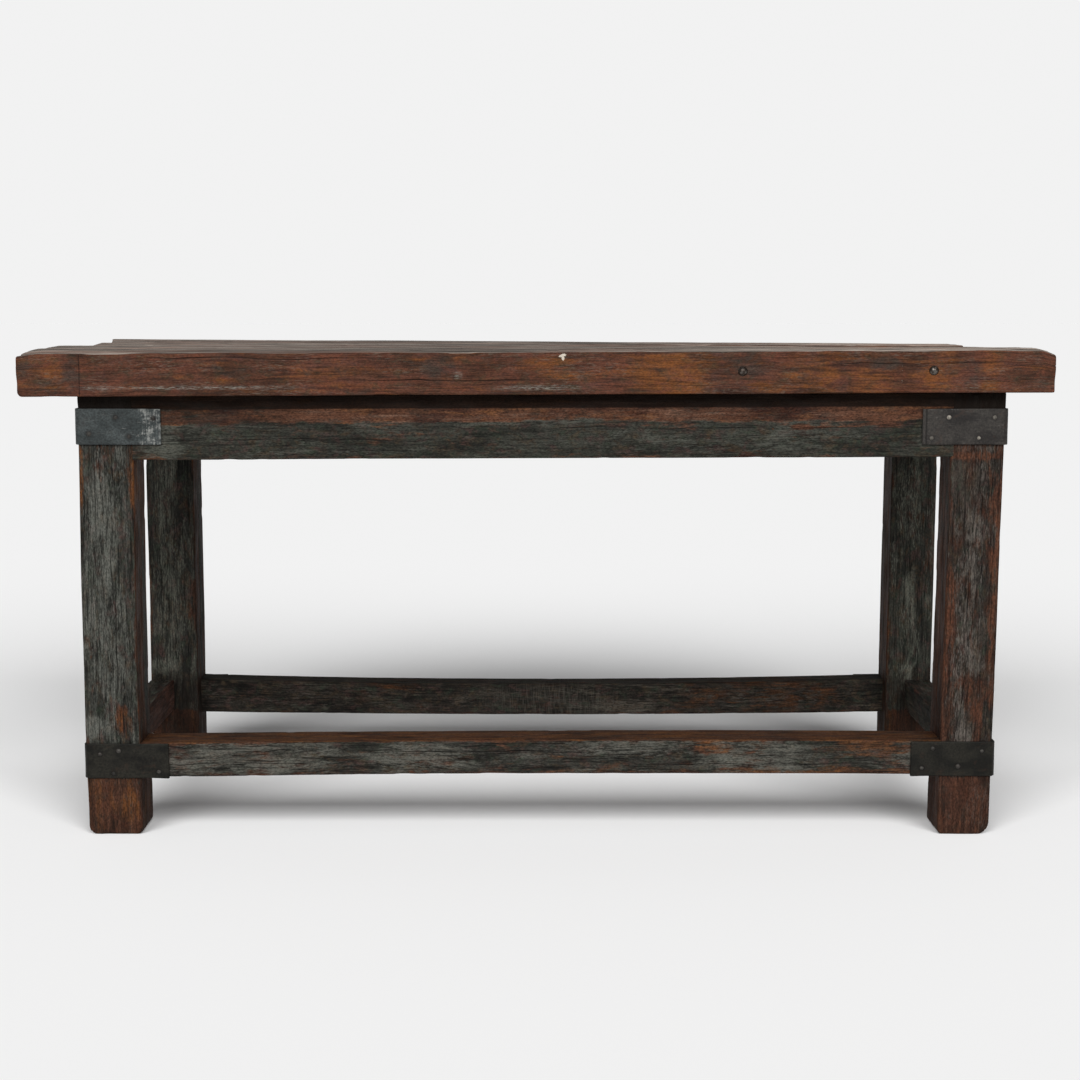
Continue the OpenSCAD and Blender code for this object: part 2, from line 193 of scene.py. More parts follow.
def piece(name, points, faces, material, slot, node, values):
    """A named mesh that rides on the table, stands for a CAD node and carries these values."""
    mesh = bpy.data.meshes.new(name)
    mesh.from_pydata(points.tolist(), [], faces)
    mesh.shade_smooth()
    for key, data in values.items():
        vector = data.ndim == 2
        made = mesh.attributes.new(key, "FLOAT_VECTOR" if vector else "FLOAT", "POINT")
        made.data.foreach_set("vector" if vector else "value", data.astype(np.float32).ravel())
    mesh.materials.append(material)
    made = added(name, mesh)
    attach(made, "root")
    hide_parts(node)


# ---- Materials ----

# How much brighter a surface looks in the studio's light than its own colour
STUDIO_LIGHT = 1.9


def tone(code):
    """The linear colour of a surface that looks like this sRGB code in the studio's light."""
    c = np.array([int(code[i:i + 2], 16) / 255 for i in (0, 2, 4)])
    linear = np.where(c <= 0.04045, c / 12.92, ((c + 0.055) / 1.055) ** 2.4)
    return (*(linear / STUDIO_LIGHT).tolist(), 1.0)


class Shader:
    """A material built one node at a time.

    It reads the grain that a timber carries, or on a CAD node the place on the object.
    """

    def __init__(self, name, shift=0.0, carried=True):
        self.material = bpy.data.materials.new(name)
        self.material.use_nodes = True
        self.tree = self.material.node_tree
        self.tree.nodes.clear()
        self.shift = shift
        if carried:
            self.grain = self.node("Attribute", attribute_name="grain").outputs["Vector"]
        else:
            self.grain = self.node("TexCoord").outputs["Object"]

    def node(self, kind, inputs=None, **settings):
        """A node of this kind, whose inputs are sockets or plain values."""
        made = self.tree.nodes.new("ShaderNode" + kind)
        for key, value in settings.items():
            setattr(made, key, value)
        for key, value in (inputs or {}).items():
            if isinstance(value, bpy.types.NodeSocket):
                self.tree.links.new(value, made.inputs[key])
            else:
                made.inputs[key].default_value = value
        return made

    def value(self, name):
        """A value that the mesh carries."""
        return self.node("Attribute", attribute_name=name).outputs["Fac"]

    def noise(self, along, across, detail=4.0, roughness=0.6, distortion=0.0):
        """Noise with lumps of this size, in millimetres, along and across the grain."""
        self.shift += 3.7
        scale = [1000 / along, 1000 / across, 1000 / across]
        where = self.node("VectorMath", {0: self.grain, 1: scale, 2: (self.shift,) * 3},
                          operation="MULTIPLY_ADD").outputs[0]
        return self.node("TexNoise", {"Vector": where, "Scale": 1.0, "Detail": detail,
                                      "Roughness": roughness, "Distortion": distortion}
                         ).outputs["Fac"]

    def math(self, operation, a, b=0.0, c=0.0):
        return self.node("Math", {0: a, 1: b, 2: c}, operation=operation).outputs[0]

    def total(self, *terms):
        """The sum of values, each with its weight."""
        result = 0.0
        for value, weight in terms:
            result = self.math("MULTIPLY_ADD", value, weight, result)
        return result

    def ease(self, value, low, high, bottom=0.0, top=1.0):
        """A smooth step of a value from low to high."""
        return self.node("MapRange", {"Value": value, "From Min": low, "From Max": high,
                                      "To Min": bottom, "To Max": top},
                         interpolation_type="SMOOTHSTEP").outputs[0]

    def mix(self, amount, a, b, blend="MIX"):
        """Colour a with this much of colour b, each a socket or an sRGB code."""
        a, b = (tone(c) if isinstance(c, str) else c for c in (a, b))
        return self.node("Mix", {0: amount, 6: a, 7: b}, data_type="RGBA",
                         blend_type=blend).outputs[2]

    def shade(self, colour, factor):
        """The colour made darker or lighter by a factor."""
        return self.mix(1.0, colour, factor, "MULTIPLY")

    def turn(self, a, b, value, low, high, most=1.0):
        """Colour a, turning to colour b while a value goes from low to high."""
        return self.mix(self.ease(value, low, high, 0.0, most), a, b)

    def finish(self, colour, roughness, height, strength, depth, sockets=None):
        """Joins colour, roughness, relief of this depth in millimetres and more to the surface."""
        bump = self.node("Bump", {"Height": height, "Strength": strength, "Distance": depth * MM})
        shader = self.node("BsdfPrincipled", {"Base Color": colour, "Roughness": roughness,
                                              "Normal": bump.outputs[0], **(sockets or {})})
        self.node("OutputMaterial", {"Surface": shader.outputs[0]})
        return self.material


def old_wood(s, dark, middle, light, warm):
    """Dark old wood: blotches, warm patches, streaks and the fine lines of its grain."""
    blotch = s.noise(130, 50, 4, 0.6, 0.6)
    colour = s.turn(dark, middle, blotch, 0.38, 0.62)
    fibre = s.noise(120, 7, 5, 0.65, 0.2)
    colour = s.turn(colour, light, fibre, 0.5, 0.7, 0.7)
    glow = s.total((s.noise(95, 15, 4, 0.6, 0.5), 1.0), (s.value("warm"), 0.22))
    colour = s.turn(colour, warm, glow, 0.5, 0.78, 0.85)
    return colour, fibre


def tinted(s, colour, amount, *tints):
    """Small soft patches of other hues, as of old stains and paint."""
    for tint in tints:
        patch = s.noise(26, 16, 4, 0.65, 0.5)
        colour = s.turn(colour, tint, patch, 0.5, 0.7, amount)
    return colour


def gritty(s, colour, fleck, fleck_amount=0.6, line_depth=0.4, speckle=0.6, smooth=0.0):
    """Adds dark lines along the grain, fewer where smooth, specks and pale flecks.

    Gives the colour and the relief of all of these.
    """
    lines = s.noise(60, 2.8, 4, 0.65)
    grit = s.noise(5, 2.2, 4, 0.75)
    pits = s.noise(13, 2.2, 3, 0.7)
    factor = s.ease(lines, 0.36, 0.54, line_depth, 1.2)
    factor = s.math("MULTIPLY_ADD", s.math("SUBTRACT", 1.0, factor), smooth, factor)
    colour = s.shade(colour, factor)
    colour = s.shade(colour, s.ease(grit, 0.3, 0.7, 1 - speckle, 1 + speckle))
    zone = s.total((s.noise(120, 30, 4, 0.65, 0.5), 1.0), (s.value("pale"), 0.2))
    flecks = s.math("MULTIPLY", s.ease(pits, 0.5, 0.64), s.ease(zone, 0.44, 0.66))
    colour = s.mix(s.math("MULTIPLY", flecks, fleck_amount), colour, fleck)
    relief = s.total((lines, 1.0), (grit, 0.5), (flecks, 0.2))
    return colour, relief


def end_grain(s, colour):
    """Growth rings and pinkish wood where a board's end is sawn across."""
    ring = s.node("VectorMath", {0: s.node("Attribute", attribute_name="pith").outputs["Vector"]},
                  operation="LENGTH").outputs["Value"]
    waver = s.noise(30, 30, 3, 0.6)
    turns = s.total((ring, 1000 / 0.75), (waver, 9.0))
    lines = s.math("SINE", turns)
    sawn = s.turn("674a3e", "836456", s.noise(20, 20, 4, 0.65), 0.36, 0.64)
    sawn = s.shade(sawn, s.ease(lines, -1.0, 1.0, 0.62, 1.15))
    return s.mix(s.value("end"), colour, sawn)


def weathered_face(s):
    """Greyed wood with long checks, as on the upper faces. Gives its colour and the checks."""
    grey = s.noise(200, 7, 5, 0.7, 0.15)
    colour = s.turn("60564f", "baada2", grey, 0.36, 0.64)
    brown = s.noise(300, 60, 3, 0.55, 0.4)
    colour = s.turn(colour, "98796b", brown, 0.48, 0.62, 0.55)
    checks = s.noise(110, 3.6, 4, 0.65)
    colour = s.shade(colour, s.ease(checks, 0.33, 0.52, 0.3, 1.12))
    bands = s.noise(260, 32, 4, 0.7, 0.3)
    colour = s.shade(colour, s.ease(bands, 0.36, 0.62, 0.6, 1.35))
    return s.shade(colour, s.ease(s.value("bleached"), 0.0, 1.0, 1.0, 1.7)), checks


def top_material(name, shift):
    """Reddish hardwood, greyed on the upper face, dirty and patchy on the sides."""
    s = Shader(name, shift)
    colour, fibre = old_wood(s, "43291b", "60392a", "6c4635", "794821")
    colour = tinted(s, colour, 0.55, "533731", "403a29", "683a29")
    dirt = s.total((s.noise(50, 24, 4, 0.7, 0.5), 1.0), (s.value("cool"), 0.2))
    colour = s.turn(colour, "3d3630", dirt, 0.54, 0.76, 0.65)
    colour, relief = gritty(s, colour, "8d8173", 0.4, 0.6, 0.4)
    streak = s.math("MULTIPLY", s.value("pale"), s.ease(s.noise(14, 1.6, 5, 0.75), 0.46, 0.6))
    colour = s.mix(s.math("MULTIPLY", streak, 0.8), colour, "a4a298")
    colour = end_grain(s, colour)
    weathered, checks = weathered_face(s)
    exposed = s.total((s.value("weather"), 1.0), (fibre, 0.6))
    colour = s.turn(colour, weathered, exposed, 0.62, 0.98)
    torn = s.total((s.value("fresh"), 1.0), (s.noise(3.5, 2.5, 4, 0.7), 1.6))
    colour = s.turn(colour, "e8dccb", torn, 1.15, 1.4)
    colour = s.mix(s.value("cavity"), colour, "15100d")
    roughness = s.ease(fibre, 0.3, 0.7, 0.6, 0.85)
    return s.finish(colour, roughness, s.total((relief, 0.6), (checks, 0.9), (fibre, 0.6)),
                    0.8, 1.4, {"Specular IOR Level": 0.12})


def painted_material(name, shift, paint=("252420", "3b3a35"), chalk="77776f",
                     wood=("2e1c13", "4e2f20", "604030", "69401f"), rubbed=0.0, chalky=0.0,
                     lines=0.3):
    """Dark green-grey paint, chalky with age, rubbed through to reddish wood."""
    s = Shader(name, shift)
    under, fibre = old_wood(s, *wood)
    under = tinted(s, under, 0.6, "2a241d", "4b2a1c")
    coat = s.noise(150, 40, 4, 0.65, 0.6)
    colour = s.turn(*paint, coat, 0.4, 0.62)
    colour = tinted(s, colour, 0.7, "2f372c", "46332f", "413527")
    bloom = s.total((s.noise(90, 22, 5, 0.7, 0.5), 1.0), (s.value("pale"), 0.2))
    colour = s.turn(colour, chalk, bloom, 0.5 - chalky, 0.76 - chalky, 0.55)
    rub = s.total((s.noise(70, 30, 3, 0.6, 0.6), 1.1), (s.noise(34, 6, 6, 0.75, 0.4), 1.0),
                  (s.value("wear"), 0.26), (s.value("warm"), 0.36), (s.value("bare"), 1.1))
    gone = s.ease(rub, 1.16 - rubbed, 1.46 - rubbed, 0.0, 0.95)
    colour = s.mix(gone, colour, under)
    bare = s.math("MULTIPLY", s.value("bare"), 0.7)
    colour, relief = gritty(s, colour, chalk, s.ease(gone, 0.0, 1.0, 0.65, 0.25), lines, 0.6, bare)
    scuff = s.math("MULTIPLY", s.value("scuffed"), s.ease(s.noise(2.4, 34, 4, 0.7), 0.46, 0.66))
    colour = s.mix(s.math("MULTIPLY", scuff, 0.42), colour, "6d6a60")
    # Dark brown dirt, and painted shade right under the top and low down on the back legs
    dirt_and_shade = s.total((s.value("dirt_and_shade"), 1.0), (fibre, 0.5))
    colour = s.turn(colour, "180f09", dirt_and_shade, 0.55, 1.0, 0.9)
    colour = s.mix(s.value("cavity"), colour, "110e0c")
    roughness = s.ease(bloom, 0.4, 0.62, 0.6, 0.85)
    return s.finish(colour, roughness, s.total((relief, 0.9), (fibre, 0.4), (gone, -0.2)),
                    0.8, 1.3, {"Specular IOR Level": 0.08})


def bare_material(name, carried):
    """Unpainted sawn wood of the parts under the top."""
    s = Shader(name, 83.0, carried)
    colour, fibre = old_wood(s, "4a3325", "6b4d38", "866750", "7c5630")
    saw = s.noise(4, 200, 2, 0.5)
    colour = s.turn(colour, "54402f", saw, 0.55, 0.7, 0.25)
    colour, relief = gritty(s, colour, "9a8a78", 0.3, 0.6)
    return s.finish(colour, s.ease(fibre, 0.3, 0.7, 0.6, 0.85),
                    s.total((relief, 0.6), (saw, 0.6)), 0.6, 1.2)


def iron_material(name, shift, dark, light, scraped, rust=0.4, shine=0.25):
    """Blackened iron plate, mottled, rubbed and scraped."""
    s = Shader(name, shift)
    cloud = s.noise(55, 40, 5, 0.6, 0.4)
    speck = s.noise(3.5, 3.5, 5, 0.75)
    scratch = s.noise(30, 1.8, 4, 0.7, 0.2)
    colour = s.turn(dark, light, cloud, 0.38, 0.62)
    colour = s.shade(colour, s.ease(speck, 0.3, 0.7, 0.45, 1.6))
    stain = s.noise(30, 22, 5, 0.7, 0.6)
    colour = s.turn(colour, "4a3327", stain, 0.56, 0.72, rust)
    colour = s.turn(colour, scraped, scratch, 0.6, 0.74, 0.4)
    rag = s.total((s.noise(1.8, 16, 4, 0.7), 0.6), (s.noise(14, 9, 5, 0.75), 0.9),
                  (s.value("wear"), 0.45))
    rubbed = s.math("MULTIPLY", s.ease(rag, 1.1, 1.32), s.value("wear"))
    colour = s.mix(rubbed, colour, scraped)
    colour = s.mix(s.value("cavity"), colour, "120f0d")
    roughness = s.math("MULTIPLY_ADD", speck, 0.4, 0.35)
    return s.finish(colour, roughness, s.total((cloud, 0.8), (speck, 0.35)), 0.5, 0.8,
                    {"Metallic": 0.2, "Specular IOR Level": shine})


def steel_material():
    """Dark aged steel, rubbed bright in spots."""
    s = Shader("bolt_steel", carried=False)
    cloud = s.node("TexNoise", {"Vector": s.grain, "Scale": 160.0, "Detail": 4.0}).outputs["Fac"]
    fine = s.node("TexNoise", {"Vector": s.grain, "Scale": 900.0, "Detail": 3.0}).outputs["Fac"]
    colour = s.turn("453b34", "7d7770", cloud, 0.4, 0.62)
    colour = s.turn(colour, "50382a", fine, 0.58, 0.7, 0.5)
    roughness = s.ease(cloud, 0.35, 0.65, 0.42, 0.24)
    return s.finish(colour, roughness, s.math("ADD", cloud, fine), 0.3, 0.4, {"Metallic": 0.8})


# ---- Timber ----

# Where a timber's surface points are, as parts of its size and in metres, and the way they face,
# all with the axis along the grain first
Surface = namedtuple("Surface", "part local facing")


def spots(across, *places):
    """Marks round places on a timber, each as part along, part across, half sizes, strength."""
    def mark(surface):
        total = np.zeros(len(surface.part))
        for along, aside, half_along, half_aside, strength in places:
            far = np.hypot((surface.part[:, 0] - along) / half_along,
                           (surface.part[:, across] - aside) / half_aside)
            total = np.maximum(total, strength * ease(1.25, 0.35, far))
        return total
    return mark


def marked(table):
    """A mark for each value in a table of places along and up a timber."""
    return {key: spots(2, *where) for key, where in table.items()}


def both(*marks):
    """The strongest of several marks."""
    return lambda surface: np.maximum.reduce([mark(surface) for mark in marks])


def crack(points, part, facing, low, high, spec, seed):
    """Moves the grid near a crack so that its lines follow it. Returns points and bite there.

    spec: face axis (1 or 2), face side, part across, start and end as parts along, millimetres of
    half width and depth.
    """
    axis, side, place, start, end, width, depth = spec
    across = 3 - axis
    line = points * [1, 0, 0]
    wander = noise(line, (0.11, 1, 1), seed) * 2.2 + noise(line, (0.03, 1, 1), seed + 1) * 0.8
    aside = points[:, across] - (low[across] + place * (high[across] - low[across]))
    on_face = ease(0.2, 0.7, facing[:, axis] * side)
    face = high[axis] if side > 0 else low[axis]
    into = abs(points[:, axis] - face)
    on_end = ease(0.7, 0.95, abs(facing[:, 0])) * ease(depth * 5 * MM, depth * MM, into)
    live = np.ones(len(points))
    if start > 0:
        live *= ease(start - 0.005, start + 0.04, part[:, 0])
    if end < 1:
        live *= ease(end + 0.005, end - 0.04, part[:, 0])
    swell = 0.65 + 0.35 * noise(line, (0.05, 1, 1), seed + 2)
    bite = ease(width * MM, 0, abs(aside)) * live * swell * np.maximum(on_face, on_end)
    moved = points.copy()
    moved[:, across] += wander * MM * ease(14 * MM, 3 * MM, abs(aside))
    return moved, bite * depth * MM


def timber_grid(low, high, step, cracks, close):
    """A timber's block, with close grid lines at its cracks and at these parts along."""
    size = high - low
    lines = [[low[0] + place * size[0] for place in close]]
    for axis in (1, 2):
        lines.append([low[axis] + c[2] * size[axis] for c in cracks if c[0] == 3 - axis])
    along, across = step[0] * MM, step[1] * MM
    return block(places(low[0], high[0], along, lines[0]),
                 places(low[1], high[1], across, lines[1]),
                 places(low[2], high[2], across, lines[2]))


def knocked_off(start, chips, seed):
    """Where bits of the arris are knocked off."""
    lumps = noise(start, (0.045, 0.035, 0.035), seed + 40)
    return ease(0.42 - chips * 0.3, 0.75 - chips * 0.2, lumps)


def unevenness(start, facing, rough, ends, seed):
    """How far each point stands out of its face, in millimetres."""
    sag = layered(start, (0.3, 0.07, 0.07), seed + 11) * rough
    ridge = noise(start, (0.14, 0.013, 0.013), seed + 17) * rough * 0.45
    dent = ease(0.5, 0.9, noise(start, (0.03, 0.022, 0.022), seed + 23)) * rough * 1.2
    cut = layered(start * [0, 1, 1], (1, 0.035, 0.035), seed + 29) * ends
    end_face = ease(0.6, 0.9, abs(facing[:, 0]))
    return (sag + ridge - dent) * (1 - end_face) + cut * end_face


def kerf_depth(beyond, facing):
    """Depth of a saw mark across the front, for points this far beyond it."""
    return ease(1.1 * MM, 0, abs(beyond)) * ease(0.3, 0.8, -facing[:, 1]) * 1.4 * MM


def knot_depth(away, width, deep):
    """Depth of a knot's pit, for points this far away from its middle."""
    far = np.linalg.norm(away / MM / [width * 1.8, width, width], axis=1)
    return ease(1, 0.2, far) * deep * MM


def arris_wear(start, edge, bites, seed):
    """How rubbed each point is, from its distance to the nearest arris."""
    uneven = 0.55 + 0.75 * layered(start, (0.16, 0.09, 0.09), seed + 35)
    wear = ease(10 * MM, 0, edge) * uneven + 0.4 * bites * ease(16 * MM, 2 * MM, edge)
    return np.clip(wear, 0, 1)


def timber(name, axis, material, slot, seed, step, radius=3.0, chips=0.5, rough=0.6, ends=1.5,
           trim=None, cracks=(), kerfs=(), fine=(), knots=(), shape=None, marks=None):
    """A worn timber in the place of the CAD node of that name.

    axis is the way its grain runs. step is the grid's, along and across the grain. radius is the
    arris's, chips how much of the arris is knocked off, rough how uneven the faces are, and ends
    how uneven the end cuts. trim gives the visible part of the node's box, kerfs are saw marks
    across the front, fine are places where the grid is close, knots are pits, shape bends the
    finished points, and marks says where the material changes. Sizes are in millimetres.
    """
    low, high = box(name)
    low, high = low[TO_LOCAL[axis]], high[TO_LOCAL[axis]]
    if trim:
        low, high = trim(low, high)
    size = high - low
    start, faces = timber_grid(low, high, step, cracks, (*kerfs, *fine))
    part = (start - low) / size
    edge = np.sort(np.minimum(start - low, high - start), axis=1)[:, 1]
    uneven = layered(start, (0.06, 0.05, 0.05), seed)
    bites = knocked_off(start, chips, seed)
    arris = np.clip(radius * (1 + 0.5 * uneven) + chips * 9 * bites, 1.2, 14) * MM
    points, facing = rounded(start, low, high, arris)
    depth = np.zeros(len(points))
    for i, spec in enumerate(cracks):
        points, bite = crack(points, part, facing, low, high, spec, seed + 60 + 5 * i)
        depth = np.maximum(depth, bite)
    for kerf in kerfs:
        depth = np.maximum(depth, kerf_depth(start[:, 0] - low[0] - kerf * size[0], facing))
    for place, width, deep in knots:
        depth = np.maximum(depth, knot_depth(start - low - place * size, width, deep))
    push = unevenness(start, facing, rough, ends, seed)
    points = points + facing * (push * MM - depth)[:, None]
    if shape:
        shape(points, part, low, high)
    values = {
        "grain": start + np.array([seed * 0.731, seed * 0.377, seed * 0.213]),
        "wear": arris_wear(start, edge, bites, seed),
        "cavity": np.clip(depth / (1.6 * MM), 0, 1),
    }
    for key, mark in (marks or {}).items():
        values[key] = mark(Surface(part, start, facing))
    piece(name + "_wood", points[:, TO_WORLD[axis]], faces.tolist(), material, slot, name, values)


def turned_end(points, axis, end, face, side, radius):
    """Rounds the edge where a timber's lower end meets its face on this side of an axis."""
    over_end = end + radius - points[:, 0]
    over_face = (points[:, axis] - face) * side + radius
    inside = (over_end > 0) & (over_face > 0)
    over_end, over_face = over_end[inside], over_face[inside]
    shrink = np.maximum(over_end, over_face) / np.hypot(over_end, over_face)
    points[inside, 0] = end + radius - over_end * shrink
    points[inside, axis] = face - side * (radius - over_face * shrink)


# ---- Top ----

def twist(points):
    """How far the top, and all that carries it, stands above or below level."""
    across = (points[:, 1] - cad_low[1]) / (cad_high[1] - cad_low[1])
    along = points[:, 0] / cad_high[0]
    front = 4.0 * along
    back = 1.5 - 5.0 * along
    return (front * (1 - across) + back * across) * MM


def lifted(points, *_):
    points[:, 2] += twist(points)


def shorter(points, part, low, high, left, right):
    """Draws a board's ends in, by a millimetre value at its front edge and one at its back."""
    for face, side, (front, back) in ((low[0], 1, left), (high[0], -1, right)):
        pull = (front + (back - front) * part[:, 1]) * MM
        points[:, 0] += side * pull * ease(0.2, 0, abs(points[:, 0] - face))


def front_board(points, part, low, high):
    turned_end(points, 2, low[0], low[2], -1, 9 * MM)
    along = points[:, 0] / cad_high[0]
    rise = 2.5 * ease(0, 0.18, part[:, 1]) + ease(0.3, 1, part[:, 1]) * (0.3 - 2.2 * along)
    rise += 1.2 * (1 - along) * ease(0.9, 0.2, part[:, 1])
    broken = 4.5 * ease(38 * MM, 0, points[:, 0] - low[0]) * ease(0.5, 0, part[:, 1])
    broken += 7 * ease(26 * MM, 0, high[0] - points[:, 0]) * ease(0.6, 0, part[:, 1])
    points[:, 2] += (rise - broken) * MM * ease(0.2, 0.9, part[:, 2])
    lifted(points)


def middle_board(points, part, low, high):
    shorter(points, part, low, high, (22, -6), (38, 2))
    lift = 1.5 - 4 * ease(-0.7, 0.6, points[:, 0])
    points[:, 2] += lift * ease(0.4, 1, part[:, 2]) * MM
    lifted(points)


def back_board(points, part, low, high):
    shorter(points, part, low, high, (45, 0), (0, 6))
    lifted(points)


def sawn_end(surface):
    """The end cuts of a board."""
    return ease(0.75, 0.95, abs(surface.facing[:, 0]))


def from_pith(surface):
    """Each point's place from the middle of the tree that the board was cut from."""
    middle = (surface.local.min(0) + surface.local.max(0)) / 2
    return (surface.local - middle - [0, 0.03, -0.11]) * [0, 1, 1]


def bleached(surface):
    """The upper face is paler towards the table's right end, and a little at its left end."""
    along = surface.local[:, 0] / cad_high[0]
    return greyed(surface) * (0.3 * ease(-0.3, -0.8, along) + 0.9 * ease(0.1, 0.7, along))


def greyed(surface):
    """The top's upper faces have greyed."""
    return ease(0.6, 0.97, surface.facing[:, 2])


def fresh_chip(along, up, size):
    """A newly broken place on the front edge, with a ragged outline."""
    def mark(surface):
        far = np.hypot((surface.part[:, 0] - along) / size[0],
                       (surface.part[:, 2] - up) / size[1])
        ragged = 0.5 * noise(surface.local, (0.006, 0.02, 0.004), 91)
        return ease(1.1, 0.6, far + ragged) * ease(0.3, 0.6, -surface.facing[:, 1])
    return mark


# Cracks of the three boards: face axis, side, part across, start, end, half width, depth
FRONT_BOARD_CRACKS = (
    (2, 1, 0.16, 0.62, 1, 1.5, 5), (2, 1, 0.33, 0, 0.24, 1.7, 6),
    (2, 1, 0.47, 0.3, 0.71, 1.2, 4), (2, 1, 0.62, 0.55, 1, 1.5, 6),
    (2, 1, 0.8, 0.05, 0.48, 1.4, 5), (1, -1, 0.36, 0.3, 0.52, 1.0, 2.5),
    (1, -1, 0.72, 0.78, 1, 1.0, 3), (1, -1, 0.86, 0.1, 0.33, 0.9, 2.5),
)
MIDDLE_BOARD_CRACKS = (
    (2, 1, 0.14, 0.35, 0.8, 1.4, 5), (2, 1, 0.31, 0, 0.33, 1.8, 7),
    (2, 1, 0.5, 0.52, 1, 1.6, 6), (2, 1, 0.68, 0.08, 0.57, 1.5, 5),
    (2, 1, 0.86, 0.66, 1, 1.6, 6),
)
BACK_BOARD_CRACKS = (
    (2, 1, 0.87, 0.19, 0.38, 2.5, 8),
    (2, 1, 0.17, 0.14, 0.6, 1.8, 6), (2, 1, 0.37, 0.58, 1, 1.7, 6),
    (2, 1, 0.55, 0, 0.36, 1.6, 6), (2, 1, 0.76, 0.4, 0.88, 1.6, 5),
    (1, 1, 0.55, 0.25, 0.7, 1.2, 4),
)


# Places on the front board's edge: part along, part up, half sizes, strength
FRONT_EDGE = {
    "warm": ((0.63, 0.5, 0.05, 0.9, 1.0), (0.037, 0.5, 0.012, 0.5, 0.7),
             (0.765, 0.5, 0.03, 0.7, 0.8), (0.89, 0.55, 0.02, 0.7, 0.9),
             (0.94, 0.45, 0.015, 0.6, 0.8), (0.82, 0.3, 0.03, 0.4, 0.6),
             (0.3, 0.4, 0.05, 0.5, 0.4), (0.5, 0.6, 0.05, 0.5, 0.4)),
    "cool": ((0.41, 0.6, 0.025, 0.5, 1.0), (0.01, 0.6, 0.012, 0.8, 0.5),
             (0.918, 0.5, 0.01, 0.6, 0.9), (0.055, 0.5, 0.01, 0.6, 0.7),
             (0.84, 0.7, 0.02, 0.4, 0.6), (0.71, 0.75, 0.025, 0.35, 0.6),
             (0.2, 0.8, 0.05, 0.3, 0.5)),
    "pale": ((0.17, 0.21, 0.1, 0.05, 1.0), (0.5, 0.17, 0.05, 0.05, 1.0),
             (0.425, 0.47, 0.004, 0.08, 1.0), (0.08, 0.2, 0.02, 0.06, 0.8)),
}
KERF_PLACE = 0.0605
CHIP_PLACE = 0.526
SCAR_PLACE = 0.852


def front_edge_breaks():
    """The front edge's pale chip, and a column of small scars."""
    chip = both(fresh_chip(CHIP_PLACE, 0.89, (0.0036, 0.05)),
                fresh_chip(CHIP_PLACE, 0.84, (0.0014, 0.09)))
    scars = both(*(fresh_chip(SCAR_PLACE, up, (0.001, 0.07)) for up in (0.3, 0.52, 0.7)))
    return lambda surface: chip(surface) + 0.3 * scars(surface)


def make_top():
    board = {"weather": greyed, "bleached": bleached, "end": sawn_end, "pith": from_pith}
    timber("top_board_front", "x", top_material("top_front", 1.0), "weathered_top", 3,
           (5.8, 4), rough=1.1, ends=2.5, shape=front_board,
           cracks=FRONT_BOARD_CRACKS, kerfs=[KERF_PLACE],
           fine=[CHIP_PLACE - 0.0015, CHIP_PLACE + 0.0015, SCAR_PLACE],
           marks={**board, **marked(FRONT_EDGE), "fresh": front_edge_breaks()})
    old = {"step": (6, 5), "radius": 3.2, "chips": 0.6, "rough": 1.3, "marks": board}
    timber("top_board_middle", "x", top_material("top_middle", 70.0), "weathered_top", 5, **old,
           ends=3.5, shape=middle_board, cracks=MIDDLE_BOARD_CRACKS,
           knots=[((0.033, 0.57, 1), 12, 6), ((0.7, 0.25, 1), 9, 4)])
    timber("top_board_back", "x", top_material("top_back", 130.0), "weathered_top", 9, **old,
           ends=3.0, shape=back_board, cracks=BACK_BOARD_CRACKS,
           knots=[((0.055, 0.25, 1), 9, 5), ((0.16, 0.6, 1), 7, 4), ((0.62, 0.4, 1), 10, 3)])


# ---- Legs ----

# Radius of each foot's worn corners, at its outer and its inner side
FOOT_CORNERS = {LEFT: (15 * MM, 10 * MM), RIGHT: (22 * MM, 9 * MM)}
# How far below the top the legs and aprons are darkened, as painted shade of the top's overhang
SHADED_HEIGHT = 26 * MM

# Rubbed and pale places of the legs: part up, part from left to right, half sizes, strength
BACK_LEG_WARM = (0.45, 0.9, 0.3, 0.1, 0.3), (0.4, 0.04, 0.3, 0.1, 0.25)
LEG_WARM = {
    LEFT: ((0.82, 0.03, 0.08, 0.1, 0.7), (0.81, 0.95, 0.08, 0.14, 0.7),
           (0.26, 0.72, 0.05, 0.2, 0.9), (0.06, 0.72, 0.05, 0.34, 1.0)),
    RIGHT: ((0.55, 0.92, 0.36, 0.2, 0.7), (0.862, 0.5, 0.012, 0.6, 0.9),
            (0.45, 0.08, 0.26, 0.18, 0.7), (0.3, 0.7, 0.1, 0.3, 0.4)),
}
LEG_PALE = {
    LEFT: ((0.7, 0.4, 0.16, 0.3, 0.8), (0.42, 0.45, 0.2, 0.4, 0.6), (0.25, 0.2, 0.03, 0.35, 1.0)),
    RIGHT: ((0.66, 0.5, 0.12, 0.25, 0.5), (0.22, 0.4, 0.04, 0.3, 0.8), (0.4, 0.4, 0.1, 0.2, 0.4)),
}


def slimmer(points, part):
    """The front left leg is worn on its inner side, and swells a little outwards low down."""
    swell = ease(0.03, 0.16, points[:, 0]) * ease(0.72, 0.42, points[:, 0])
    hollow = ease(0.1, 0.26, points[:, 0]) * ease(0.7, 0.36, points[:, 0])
    return -(2.5 + 2.5 * hollow) * MM * part[:, 1] - 2.5 * MM * swell * (1 - part[:, 1])


